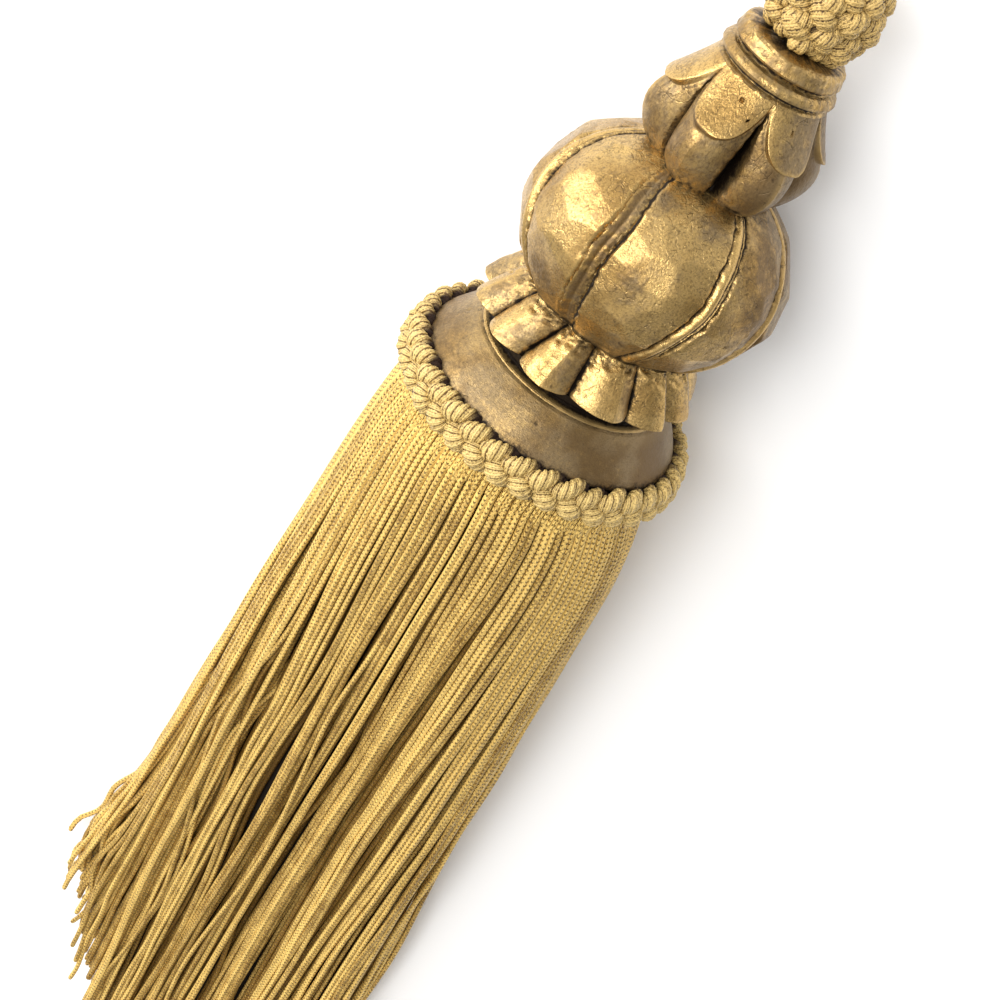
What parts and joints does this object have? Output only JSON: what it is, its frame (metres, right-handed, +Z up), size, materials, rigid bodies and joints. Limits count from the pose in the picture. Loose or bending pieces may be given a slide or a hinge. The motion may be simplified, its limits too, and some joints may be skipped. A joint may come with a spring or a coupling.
{
  "type": "curtain tieback tassel",
  "caption": "Curtain tieback tassel with a carved giltwood head, a plaited cord band, a cord knot at the neck and a long chainette fringe skirt, lying on its side.",
  "frame": {"origin": "bottom centre of the bounding box, on the surface that the tassel lies on", "axes": "+X along the tassel from the fringe's ends to the knot at the neck, +Z up from the surface it lies on"},
  "size_m": [0.3866, 0.0926, 0.0609],
  "materials": {
    "giltwood": "carved wood with worn antique gilding, dark in its cuts",
    "straw_cord": "twisted two-ply satin cord, straw gold",
    "gold_yarn": "knitted chainette yarn, satin golden tan"
  },
  "bodies": {
    "root": {"cord_knot": "straw_cord", "neck_calyx": "giltwood", "melon_ball": "giltwood", "gadroon_ring": "giltwood", "cup": "giltwood", "plait_band": "straw_cord", "fringe": "gold_yarn"}
  },
  "joints": []
}
